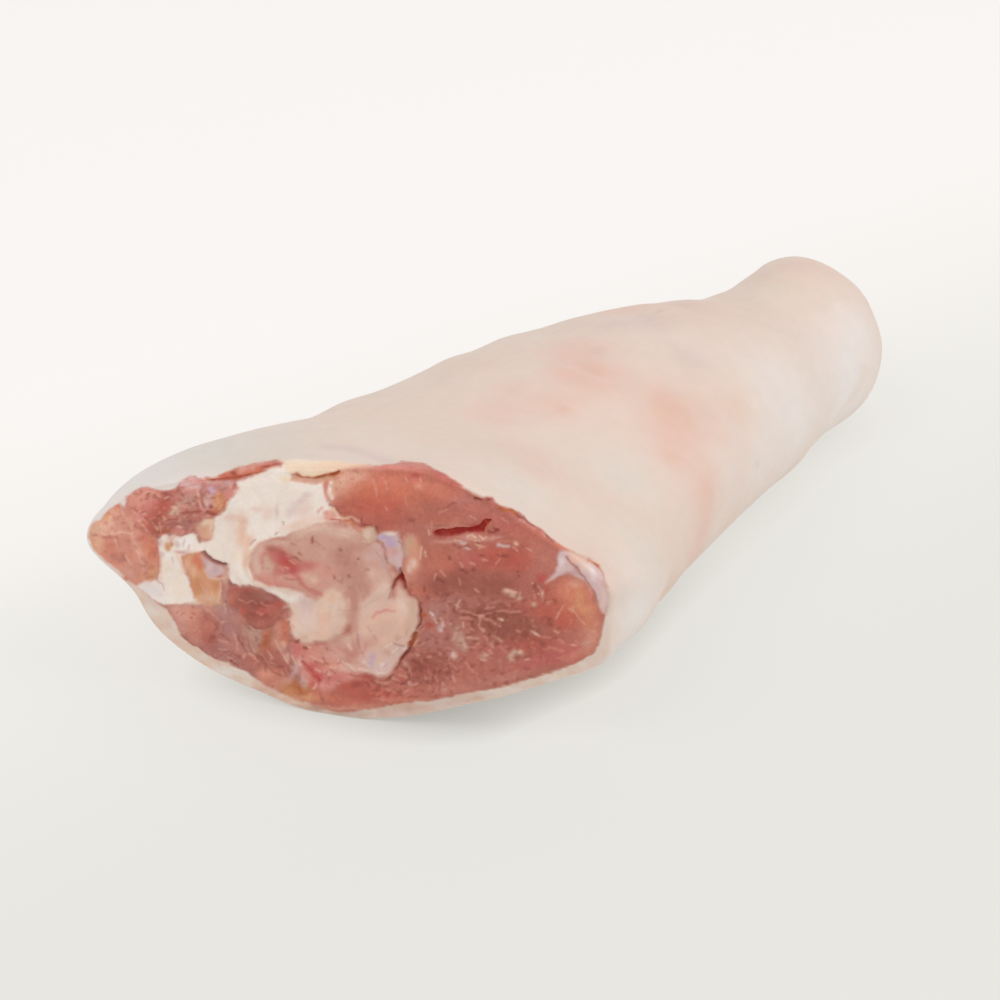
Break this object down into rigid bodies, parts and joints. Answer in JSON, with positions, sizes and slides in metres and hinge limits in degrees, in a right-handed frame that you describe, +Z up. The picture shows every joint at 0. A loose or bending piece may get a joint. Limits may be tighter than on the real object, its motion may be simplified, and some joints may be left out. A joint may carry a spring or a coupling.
{
  "type": "salted pork hock",
  "caption": "Raw salted pork hock with its rind on, cut across at the knee and the ankle, lying on its side with the meat and sawn bone showing.",
  "frame": {"origin": "bottom centre of the bounding box, on the surface that the hock lies on", "axes": "+X along the leg from the knee cut to the ankle cut, +Z up"},
  "size_m": [0.25, 0.1287, 0.0678],
  "materials": {
    "rind": "pale damp pig skin with soft pink patches, satin",
    "meat": "raw cut muscle with white fat and gristle, wet satin",
    "bone": "sawn porous bone, greyish pink with a red marrow spot"
  },
  "bodies": {
    "root": {"hock": "rind", "bone": "bone"}
  },
  "joints": []
}
